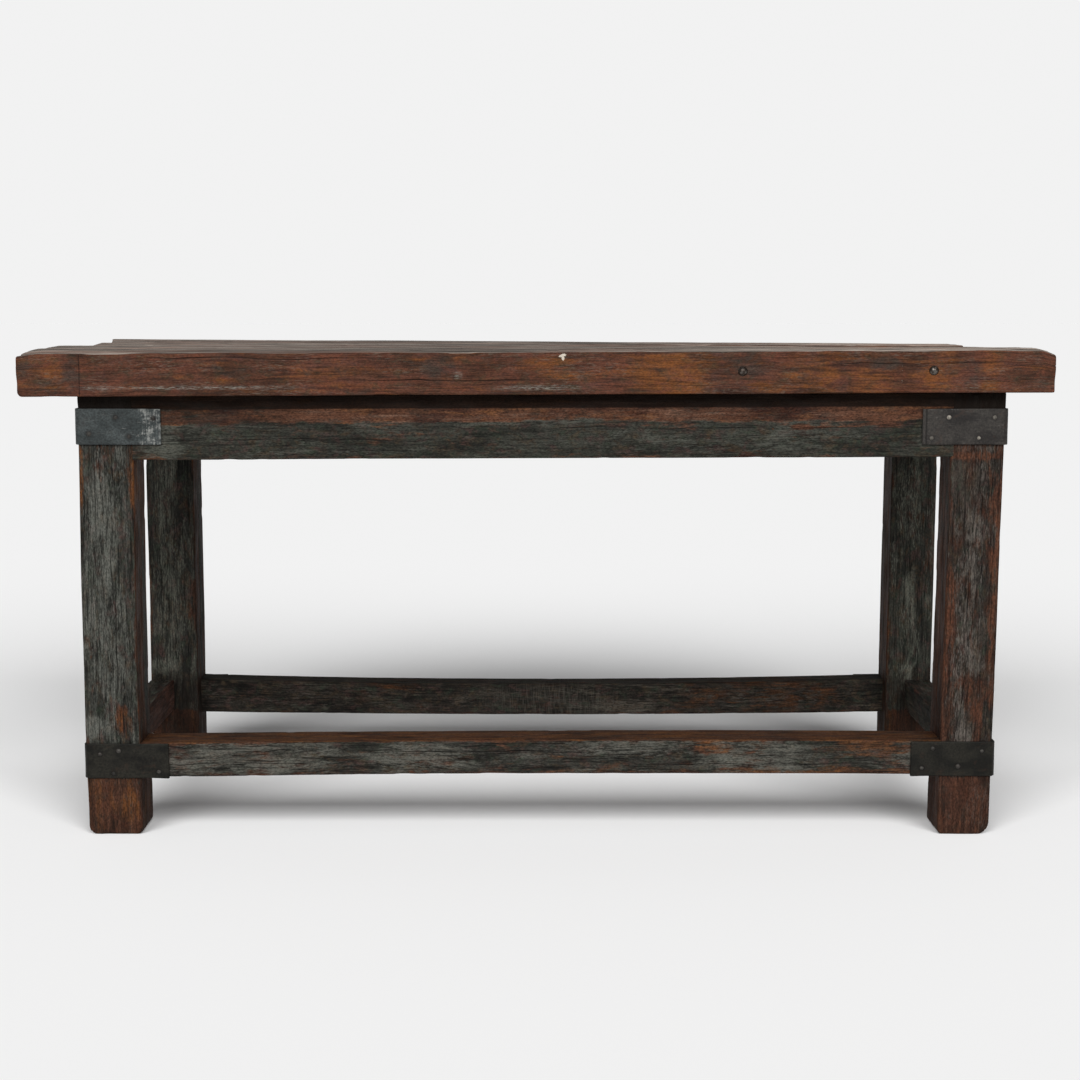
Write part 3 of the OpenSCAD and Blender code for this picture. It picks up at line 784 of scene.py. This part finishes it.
def leg_shape(sx, sy):
    lean = LEAN[sy] if sx > 0 else 0.0
    outer, inner = FOOT_CORNERS[sx]

    def shape(points, part, low, high):
        # Local axes: up, left to right, front to back
        points[:, 0] = np.maximum(points[:, 0], low[0])
        turned_end(points, 1, low[0], high[1] if sx > 0 else low[1], sx, outer)
        turned_end(points, 1, low[0], low[1] if sx > 0 else high[1], -sx, inner)
        points[:, 1] -= lean * (1 - points[:, 0] / high[0])
        if (sx, sy) == (LEFT, FRONT):
            points[:, 1] += slimmer(points, part)
        if (sx, sy) == (LEFT, BACK):
            points[:, 1] += 1.5 * MM * (1 - part[:, 1])
        level = points[:, TO_WORLD["z"]]
        points[:, 0] += ease(high[0] - 0.05, high[0], points[:, 0]) * twist(level)
    return shape


def leg_bare(sx):
    """The feet have lost their paint, and the inner sides have little left."""
    def mark(surface):
        streak = layered(surface.local, (0.05, 0.01, 0.01), 70)
        foot = ease(0.108, 0.094, surface.local[:, 0]) * (0.8 + 0.35 * streak)
        stripe = layered(surface.local, (0.4, 0.05, 0.03), 74, 2)
        inner = ease(0.5, 0.9, -sx * surface.facing[:, 1]) * (0.3 + 0.3 * stripe)
        return np.maximum(foot, inner)
    return mark


def leg_shade_and_foot(sy):
    """Painted shade under the top and low down on the back legs, and darker at the foot."""
    def mark(surface):
        height = surface.local[:, 0]
        below_top = height.max() - SHADED_HEIGHT
        # Painted shade of the top's overhang
        shaded = ease(below_top - 6 * MM, below_top, height)
        # Painted shade of the front stretcher on the back legs' lower part
        shade_low_down = ease(0.24, 0.16, height) * (0.55 if sy > 0 else 0.0)
        foot = ease(0.03, 0.0, height) * 0.35
        return np.maximum(shaded, shade_low_down + foot)
    return mark


def leg_warm(sx, sy):
    """Where a leg's paint is rubbed through, most of all on its front."""
    rubbed = spots(1, *(LEG_WARM[sx] if sy < 0 else BACK_LEG_WARM))
    return lambda surface: rubbed(surface) * ease(-0.9, 0.6, -surface.facing[:, 2])


def make_legs(paints):
    for (sx, sy), corner in CORNERS.items():
        name = "leg_" + corner
        lean = LEAN[sy] if sx > 0 else 0.0
        timber(name, "z", paints[name], "painted_timber", 21 + 2 * sx + 7 * sy,
               (5.5, 4), radius=3.2, chips=0.4, rough=0.7, ends=1.0,
               trim=lambda low, high, lean=lean: (low + [0, lean, 0], high),
               cracks=[(2, sy, 0.62 if sx < 0 else 0.42, 0.3, 0.62, 0.9, 3),
                       (2, sy, 0.3, 0.62, 0.86, 0.8, 2.5), (1, -sx, 0.5, 0.25, 0.7, 1.0, 3)],
               shape=leg_shape(sx, sy),
               marks={
                   "bare": leg_bare(sx),
                   "dirt_and_shade": leg_shade_and_foot(sy),
                   "warm": leg_warm(sx, sy),
                   "pale": spots(1, *LEG_PALE[sx]),
               })


# ---- Rails ----

# The tenons' length on the long rails and the side rails
LONG_TENON, SIDE_TENON = 50 * MM, 45 * MM
# How much of each tenon the visible timber keeps, inside the leg
KEPT_TENON = 5 * MM
FRONT_STRETCHER_HEIGHT = 62 * MM


def without_tenons(length):
    """The part of a rail that shows between the legs, and a little of its tenons."""
    hidden = length - KEPT_TENON
    return lambda low, high: (low + [hidden, 0, 0], high - [hidden, 0, 0])


def bowed(rise_low, rise_high, tilt=0.0):
    """Bends a long rail: its underside rises by rise_low in the middle, its top by rise_high."""
    def shape(points, part, *_):
        along, up = part[:, 0], part[:, 2]
        middle = 4 * along * (1 - along)
        points[:, 2] += middle * (rise_low * (1 - up) + rise_high * up) + tilt * along
    return shape


def apron_bare(surface):
    """The upper part of the apron was never painted well."""
    streak = layered(surface.local, (0.12, 0.02, 0.012), 33)
    fade = 0.4 + 0.47 * ease(0.12, 0.42, surface.part[:, 0])
    return ease(0.44, 0.7, surface.part[:, 2] + 0.18 * streak) * fade


def apron_shade_and_dirt(surface):
    """Painted shade right under the top, and dirt on the upper part of the left end."""
    height = SHADED_HEIGHT / (box("apron_front")[1][2] - box("apron_front")[0][2])
    # Painted shade of the top's overhang
    shaded = ease(1 - height * 1.1, 1 - height * 0.85, surface.part[:, 2])
    left_end = 0.5 * ease(0.34, 0.14, surface.part[:, 0]) * ease(0.35, 0.6, surface.part[:, 2])
    return np.maximum(shaded, left_end)


def upper_face(surface):
    """A rail's upper face is rubbed bare, here more and there less."""
    patchy = 0.84 + 0.4 * layered(surface.local, (0.14, 0.03, 0.03), 55, 4)
    return ease(0.2, 0.8, surface.facing[:, 2]) * patchy.clip(0, 1)


# Places on the long rails' fronts: part along, part up, half sizes, strength
RAIL_PLACES = {
    "apron_front": {
        "warm": ((0.78, 0.45, 0.003, 0.06, 1.0), (0.42, 0.68, 0.05, 0.12, 0.4)),
        "pale": ((0.035, 0.25, 0.03, 0.5, 1.0), (0.8, 0.3, 0.05, 0.3, 0.7),
                 (0.55, 0.62, 0.25, 0.1, 0.8)),
    },
    "stretcher_front": {
        "warm": ((0.715, 0.8, 0.03, 0.3, 0.8), (0.91, 0.7, 0.07, 0.4, 0.7),
                 (0.52, 0.3, 0.05, 0.3, 0.5), (0.9, 0.08, 0.2, 0.2, 0.7)),
        "pale": ((0.12, 0.5, 0.14, 0.6, 1.0), (0.35, 0.5, 0.08, 0.5, 0.7),
                 (0.77, 0.5, 0.09, 0.7, 1.0), (0.6, 0.8, 0.1, 0.3, 0.8),
                 (0.97, 0.6, 0.03, 0.5, 0.9)),
    },
    "stretcher_back": {
        "warm": ((0.82, 0.5, 0.14, 0.7, 0.8), (0.3, 0.8, 0.05, 0.3, 0.5)),
        "pale": ((0.62, 0.2, 0.05, 0.3, 1.0), (0.85, 0.5, 0.06, 0.3, 0.5)),
        "scuffed": ((0.51, 0.5, 0.11, 0.7, 0.75),),
    },
}


def rail(name, paint, seed, step, **look):
    """A painted rail, along the table or, at its sides, from front to back."""
    beside = name.endswith(("left", "right"))
    look.setdefault("trim", without_tenons(SIDE_TENON if beside else LONG_TENON))
    timber(name, "y" if beside else "x", paint, "painted_timber", seed, step, **look)


def make_aprons(paints):
    apron = {"bare": apron_bare, "dirt_and_shade": apron_shade_and_dirt}
    worn = {"radius": 2.5, "chips": 0.4}
    rail("apron_front", paints["apron_front"], 31, (5.5, 4), rough=0.7, shape=lifted, **worn,
         cracks=[(1, -1, 0.3, 0.02, 0.34, 0.8, 2), (1, -1, 0.47, 0.5, 0.93, 0.8, 2)],
         marks={**apron, **marked(RAIL_PLACES["apron_front"])})
    rail("apron_back", paints["apron_back"], 33, (7, 5), rough=0.8, shape=lifted, **worn,
         marks=apron)
    for side in ("left", "right"):
        rail("apron_" + side, paints["side_rails"], 37 + len(side), (6, 5), rough=0.8, **worn)


def front_stretcher_trim(low, high):
    """Between the legs, at its left end's height: its bend brings back the rest."""
    low, high = without_tenons(LONG_TENON)(low, high)
    return low, np.array([high[0], high[1], low[2] + FRONT_STRETCHER_HEIGHT])


def back_stretcher_trim(low, high):
    """Between the legs, without the depth that its sag brings back."""
    low, high = without_tenons(LONG_TENON)(low, high)
    return low + [0, 0, BACK_STRETCHER_SAG], high


def make_stretchers(paints):
    front = marked(RAIL_PLACES["stretcher_front"])
    rubbed_top = both(front["warm"], lambda surface: 0.65 * upper_face(surface))
    rail("stretcher_front", paints["stretcher_front"], 53, (5.5, 4), chips=0.25, rough=0.7,
         trim=front_stretcher_trim,
         shape=bowed(FRONT_STRETCHER_ARCH, FRONT_STRETCHER_ARCH, FRONT_STRETCHER_TILT),
         cracks=[(1, -1, 0.35, 0.0, 0.22, 0.9, 2.5), (1, -1, 0.66, 0.3, 0.52, 0.9, 2.5),
                 (1, -1, 0.28, 0.6, 0.95, 0.9, 2.5), (2, 1, 0.5, 0.2, 0.7, 1.2, 4)],
         marks={**front, "bare": upper_face, "warm": rubbed_top})
    rail("stretcher_back", paints["stretcher_back"], 59, (5.5, 4), radius=3.2, chips=0.25,
         rough=0.7, trim=back_stretcher_trim,
         shape=bowed(-BACK_STRETCHER_SAG, -BACK_STRETCHER_WEAR),
         cracks=[(1, -1, 0.45, 0.1, 0.4, 0.9, 2.5), (1, 1, 0.5, 0.3, 0.9, 1.0, 3)],
         marks=marked(RAIL_PLACES["stretcher_back"]))
    for side in ("left", "right"):
        rail("stretcher_" + side, paints["side_rails"], 43 + len(side), (6, 4), chips=0.3,
             rough=0.8, marks={"bare": upper_face})


def make_bearers():
    material = bare_material("bare_timber", True)
    for side in ("left", "centre", "right"):
        timber("bearer_" + side, "y", material, "bare_timber", 61 + len(side),
               (10, 7), radius=1.5, chips=0.1, rough=0.5)
    peg_material = bare_material("peg_wood", False)
    for corner in CORNERS.values():
        dress("pegs_" + corner, peg_material)


def dress(node, material):
    """Gives a CAD node that stays a material."""
    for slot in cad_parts[node].material_slots:
        slot.material = material


# ---- Ironwork ----

NAIL_HEAD_HEIGHT = 2.6 * MM
NAIL_HEAD_RADIUS = 5 * MM
# Grid lines through a strap's thickness, and the grid's step over its faces
STRAP_LAYERS = np.array([0, 0.8, 1.6, 2.9, 3.7, 4.5]) * MM
STRAP_STEP = 3.5 * MM
# A groove pressed across the upper front right strap, from its end
GROOVE_PLACE, GROOVE_DEPTH = 7 * MM, 1.2 * MM


def bend_strap(flat, sx, sy, long_arm, corner):
    """Takes points laid out along a flat strap (along, outward, up) round the table's corner."""
    r = STRAP_BEND
    arc = r * math.pi / 2
    along, out, up = flat.T
    straight = long_arm - r
    angle = np.clip((along - straight) / arc, 0, 1) * math.pi / 2
    # Distances from the strap's inner corner, towards the middle of the front and of the side
    on_front = np.minimum(along - straight, 0)
    on_side = np.maximum(along - straight - arc, 0)
    x = r - (r + out) * np.sin(angle) - on_front
    y = r - (r + out) * np.cos(angle) + on_side
    return np.stack([corner[0] - sx * x, corner[1] - sy * y, corner[2] + up], 1)


def hammered_plate(start, size, seed):
    """A flat strap's points with worn edges, dents and a slightly wavy outline."""
    radius = (1.1 + 0.5 * noise(start, (0.02, 0.02, 0.02), seed)) * MM
    points, facing = rounded(start, np.zeros(3), size, radius)
    dents = layered(start, (0.035, 0.05, 0.03), seed + 3) * 0.45
    outline = layered(start, (0.05, 0.05, 0.05), seed + 9, 2) * 0.8
    on_rim = ease(0.5, 0.9, np.maximum(abs(facing[:, 0]), abs(facing[:, 2])))
    return points + facing * ((dents * (1 - on_rim) + outline * on_rim) * MM)[:, None], facing


def strap_wear(start, size, place, seed):
    """Rubbed edges, and on the two upper front straps rubbed or scraped faces."""
    rim = np.sort(np.minimum(start, size - start)[:, [0, 2]], axis=1)[:, 0]
    wear = ease(2.5 * MM, 0, rim) * 0.5
    if place == ("upper", RIGHT, FRONT):
        wear = np.maximum(wear, 0.65 * ease(-0.4, 0.3, layered(start, (0.05, 1, 0.03), 7)))
    if place == ("upper", LEFT, FRONT):
        rag = layered(start, (0.02, 1, 0.012), seed + 13, 4)
        wear = np.maximum(wear, ease(0.062, 0.028, start[:, 0] + 0.02 * rag) * 0.9)
    return np.clip(wear, 0, 1)


def make_strap(place, material):
    """The strap of one level and corner, hammered flat and then bent."""
    level, sx, sy = place
    name = f"strap_{level}_{CORNERS[sx, sy]}"
    low, high = box(name)
    seed = 101 + 3 * sx + 7 * sy + (17 if level == "upper" else 0)
    outer = np.array([high[0] if sx > 0 else low[0], high[1] if sy > 0 else low[1]])
    inner = outer - np.array([sx, sy]) * STRAP_THICK
    long_arm, side_arm, height = high - low - [STRAP_THICK, STRAP_THICK, 0]
    length = long_arm + side_arm - 2 * STRAP_BEND + STRAP_BEND * math.pi / 2
    size = np.array([length, STRAP_THICK, height])
    grooves = [GROOVE_PLACE] if place == ("upper", RIGHT, FRONT) else []
    start, faces = block(places(0, length, STRAP_STEP, grooves), STRAP_LAYERS,
                         places(0, height, STRAP_STEP))
    points, facing = hammered_plate(start, size, seed)
    groove = np.zeros(len(points))
    for along in grooves:
        groove = ease(1.6 * MM, 0.3 * MM, abs(start[:, 0] - along)) * facing[:, 1].clip(0)
    points[:, 1] = np.maximum(points[:, 1] - groove * GROOVE_DEPTH, 0.2 * MM)
    world = bend_strap(points, sx, sy, long_arm, [*inner, low[2]])
    nails = nail_places(f"nails_{level}_{CORNERS[sx, sy]}", sx, sy)
    nearest = np.min([np.linalg.norm(world - at, axis=1) for at, _ in nails], axis=0)
    dirt = ease(8.5 * MM, 5 * MM, nearest) * 0.55
    values = {"grain": start + seed * 0.37, "wear": strap_wear(start, size, place, seed),
              "cavity": np.maximum(dirt, groove * 0.9)}
    if sx * sy > 0:
        faces = faces[:, ::-1]
    piece(name + "_plate", world, faces.tolist(), material, "black_iron", name, values)


def nail_places(node, sx, sy):
    """Where each nail of a CAD group comes out of its strap, and which way its head faces."""
    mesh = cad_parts[node].data
    co = np.zeros(len(mesh.vertices) * 3, np.float32)
    mesh.vertices.foreach_get("co", co)
    co = co.reshape(-1, 3).astype(float)
    low, high = box(node)
    found = []
    for axis, sign in ((1, sy), (0, sx)):
        face = high[axis] if sign > 0 else low[axis]
        heads = co[abs(co[:, axis] - face) < 0.3 * MM]
        while len(heads):
            near = np.linalg.norm(heads - heads[0], axis=1) < 8 * MM
            facing = np.zeros(3)
            facing[axis] = sign
            centre = heads[near].mean(0)
            centre[axis] = face - sign * NAIL_HEAD_HEIGHT
            found.append((centre, facing))
            heads = heads[~near]
    return found


def dome(radius, height, seed, rings=8, around=28, hammered=0.12):
    """A closed, hammered domed head facing +Z, with its flat back a little below z 0."""
    t = 1 - np.repeat(np.arange(rings + 1), around) / rings
    a = np.tile(np.arange(around), rings + 1) * 2 * math.pi / around
    points = np.stack([radius * t * np.cos(a), radius * t * np.sin(a), height * (1 - t ** 2.4)], 1)
    lumps = noise(points, (radius * 0.55,) * 3, seed)
    outline = noise(points * [1, 1, 0], (radius,) * 3, seed + 1)
    points[:, 2] *= 1 + hammered * lumps
    points[:, :2] *= (1 + 0.5 * hammered * outline)[:, None]
    back = points[:around] - [0, 0, height * 0.25]
    first = len(points)
    faces = []
    for k in range(around):
        n = (k + 1) % around
        faces.append([first + k, first + n, n, k])
        for row in range(0, rings * around, around):
            faces.append([row + k, row + n, row + around + n, row + around + k])
    faces.append(list(range(first + around - 1, first - 1, -1)))
    return np.concatenate([points, back]), faces


def turn_to(points, facing, at):
    """Turns points from facing +Z to facing another way, and puts them in their place."""
    z = np.asarray(facing, float)
    x = np.cross([0, 0, 1.0] if abs(z[2]) < 0.9 else [1.0, 0, 0], z)
    x /= np.linalg.norm(x)
    return points @ np.array([x, np.cross(z, x), z]) + at


def make_heads(name, heads, material, slot, node):
    """One piece from several closed domed heads."""
    points, faces, count = [], [], 0
    for head_points, head_faces in heads:
        points.append(head_points)
        faces += [[i + count for i in f] for f in head_faces]
        count += len(head_points)
    points = np.concatenate(points)
    piece(name, points, faces, material, slot, node, {"grain": points})


def make_nails(worn, dark):
    seed = 200
    for level in ("upper", "lower"):
        for (sx, sy), corner in CORNERS.items():
            name = f"nails_{level}_{corner}"
            heads = []
            for at, facing in nail_places(name, sx, sy):
                seed += 1
                radius = NAIL_HEAD_RADIUS * (0.75 + 0.1 * math.sin(seed * 2.1))
                head, faces = dome(radius, NAIL_HEAD_HEIGHT * 0.8, seed)
                heads.append((turn_to(head, facing, at), faces))
            # The upper right nails are paler: worn metal, brightened as painted highlights
            material = worn if level == "upper" and sx > 0 else dark
            make_heads(name + "_heads", heads, material, "nail_iron", name)


def make_bolts(material):
    for side in ("left", "right"):
        name = "tie_bolt_" + side
        low, high = box(name)
        face = box("top_board_front")[0][1]
        head, faces = dome((high[0] - low[0]) / 2, face - low[1] + 1 * MM, 300 + len(side),
                           10, 36, 0.05)
        centre = (low + high) / 2
        centre[1] = face
        centre[2] += twist(centre[None])[0]
        make_heads(name + "_head", [(turn_to(head, (0, -1, 0), centre), faces)], material,
                   "bolt_steel", name)
        dress("tie_washer_" + side, material)
        dress("tie_nut_" + side, material)
    for side in ("left", "centre", "right"):
        dress("lag_screws_" + side, material)


# ---- Studio ----

CAMERA_PLACE = (7.1 * MM, -3.754, 0.966)
CAMERA_PITCH = math.radians(7.2)
SENSOR_WIDTH, FOCAL_LENGTH = 36, 65
# Two soft banks of light, to the left and the right of the camera
BANK_ENERGY = 2.3
BANK_SOFTNESS = math.radians(34)
BANK_ELEVATION, BANK_AZIMUTH = 32.4, 25
# The walls' brightness where they light the table, and where the camera sees them
WALL_LIGHT, WALL_SEEN = 0.2, 0.886
FLOOR_REACH = 60.0


def make_camera():
    lens = bpy.data.cameras.new("camera")
    lens.sensor_width = SENSOR_WIDTH
    lens.lens = FOCAL_LENGTH
    camera = added("camera", lens)
    camera.location = CAMERA_PLACE
    camera.rotation_euler = (math.pi / 2 - CAMERA_PITCH, 0, 0)
    bpy.context.scene.camera = camera


def make_walls():
    """White light from all round, with a brighter white behind the table."""
    world = bpy.data.worlds.new("studio")
    world.use_nodes = True
    bpy.context.scene.world = world
    tree = world.node_tree
    light = tree.nodes["Background"]
    seen = tree.nodes.new("ShaderNodeBackground")
    for background, strength in ((light, WALL_LIGHT), (seen, WALL_SEEN)):
        background.inputs["Color"].default_value = (1, 1, 1, 1)
        background.inputs["Strength"].default_value = strength
    path = tree.nodes.new("ShaderNodeLightPath")
    mixer = tree.nodes.new("ShaderNodeMixShader")
    tree.links.new(path.outputs["Is Camera Ray"], mixer.inputs[0])
    tree.links.new(light.outputs[0], mixer.inputs[1])
    tree.links.new(seen.outputs[0], mixer.inputs[2])
    tree.links.new(mixer.outputs[0], tree.nodes["World Output"].inputs[0])


def make_lamps():
    for azimuth in (-BANK_AZIMUTH, BANK_AZIMUTH):
        lamp = bpy.data.lights.new("bank", "SUN")
        lamp.energy = BANK_ENERGY
        lamp.angle = BANK_SOFTNESS
        turn = math.radians(90 - BANK_ELEVATION), 0, math.radians(azimuth)
        added("bank", lamp).rotation_euler = turn


def make_floor():
    reach = FLOOR_REACH
    mesh = bpy.data.meshes.new("floor")
    mesh.from_pydata([(-reach, -reach, 0), (reach, -reach, 0), (reach, reach, 0),
                      (-reach, reach, 0)], [], [(0, 1, 2, 3)])
    s = Shader("floor")
    shader = s.node("BsdfDiffuse", {"Color": (0.9, 0.9, 0.9, 1)})
    s.node("OutputMaterial", {"Surface": shader.outputs[0]})
    mesh.materials.append(s.material)
    added("floor", mesh)


# ---- The paint of each part ----

# What differs from the usual paint: its two colours, its chalk, the four colours of the wood
# under it, how far it is rubbed or chalky, and how bright the dark lines of its grain are
PAINTS = {
    "leg_front_left": {"paint": ("252521", "383833"), "chalk": "70716a", "chalky": 0.03},
    "leg_front_right": {"paint": ("26221e", "3b352f"), "chalk": "766f68", "rubbed": 0.14,
                        "wood": ("2c1b13", "4a2e22", "5c4032", "5f3b29")},
    # The back legs' paint is darker than the front legs', as painted shade under the table
    "leg_back_left": {"paint": ("1e1d1a", "302f2b"), "chalk": "68695f"},
    "leg_back_right": {"paint": ("1f1f1b", "373731"), "chalk": "737469"},
    "apron_front": {"paint": ("24241f", "373731"), "chalk": "5e5f57", "lines": 0.55,
                    "wood": ("3a211a", "62402f", "886755", "8a5a36")},
    "apron_back": {},
    "side_rails": {"paint": ("201e1b", "343029"), "chalk": "6c6a62",
                   "wood": ("33211b", "55392f", "725b53", "654133")},
    "stretcher_front": {"paint": ("22211d", "35342f"), "chalk": "6e6d65", "rubbed": 0.06,
                        "wood": ("33211a", "553727", "684939", "704828")},
    "stretcher_back": {"paint": ("1a1713", "2d2924"), "chalk": "5b554d",
                       "wood": ("1e140e", "372519", "4b372b", "56361f")},
}
FIRST_SHIFT, NEXT_SHIFT = 200.0, 70.0


def mix_paints():
    """Each part's paint, with its noise shifted away from the others'."""
    return {name: painted_material("paint_" + name, FIRST_SHIFT + NEXT_SHIFT * i, **look)
            for i, (name, look) in enumerate(PAINTS.items())}


def make_straps():
    """Bluish iron on the upper left, brown on the upper right and greenish below."""
    bluish = iron_material("iron_bluish", 830.0, "323838", "444a4a", "a9aaa5", 0.12)
    brown = iron_material("iron_brown", 860.0, "221e1c", "3b3733", "8d8882")
    greenish = iron_material("iron_greenish", 890.0, "151410", "27251f", "4a493f", 0.35, 0.15)
    for sx, sy in CORNERS:
        make_strap(("upper", sx, sy), bluish if sx < 0 else brown)
    for sx, sy in CORNERS:
        make_strap(("lower", sx, sy), greenish)


# ---- Everything ----

for make in (make_camera, make_walls, make_lamps, make_floor):
    make()
bpy.context.scene.view_settings.view_transform = "Standard"
make_top()
mixed = mix_paints()
for make in (make_legs, make_aprons, make_stretchers):
    make(mixed)
make_bearers()
make_straps()
# Pale nails for the upper right straps, worn and brightened as painted highlights, and dark ones
# for the rest
make_nails(iron_material("nail_worn_highlit", 920.0, "6a655d", "a39c90", "c9c2b5", 0.2),
           iron_material("nail_dark", 950.0, "2c2a27", "4b4843", "7d786f"))
make_bolts(steel_material())
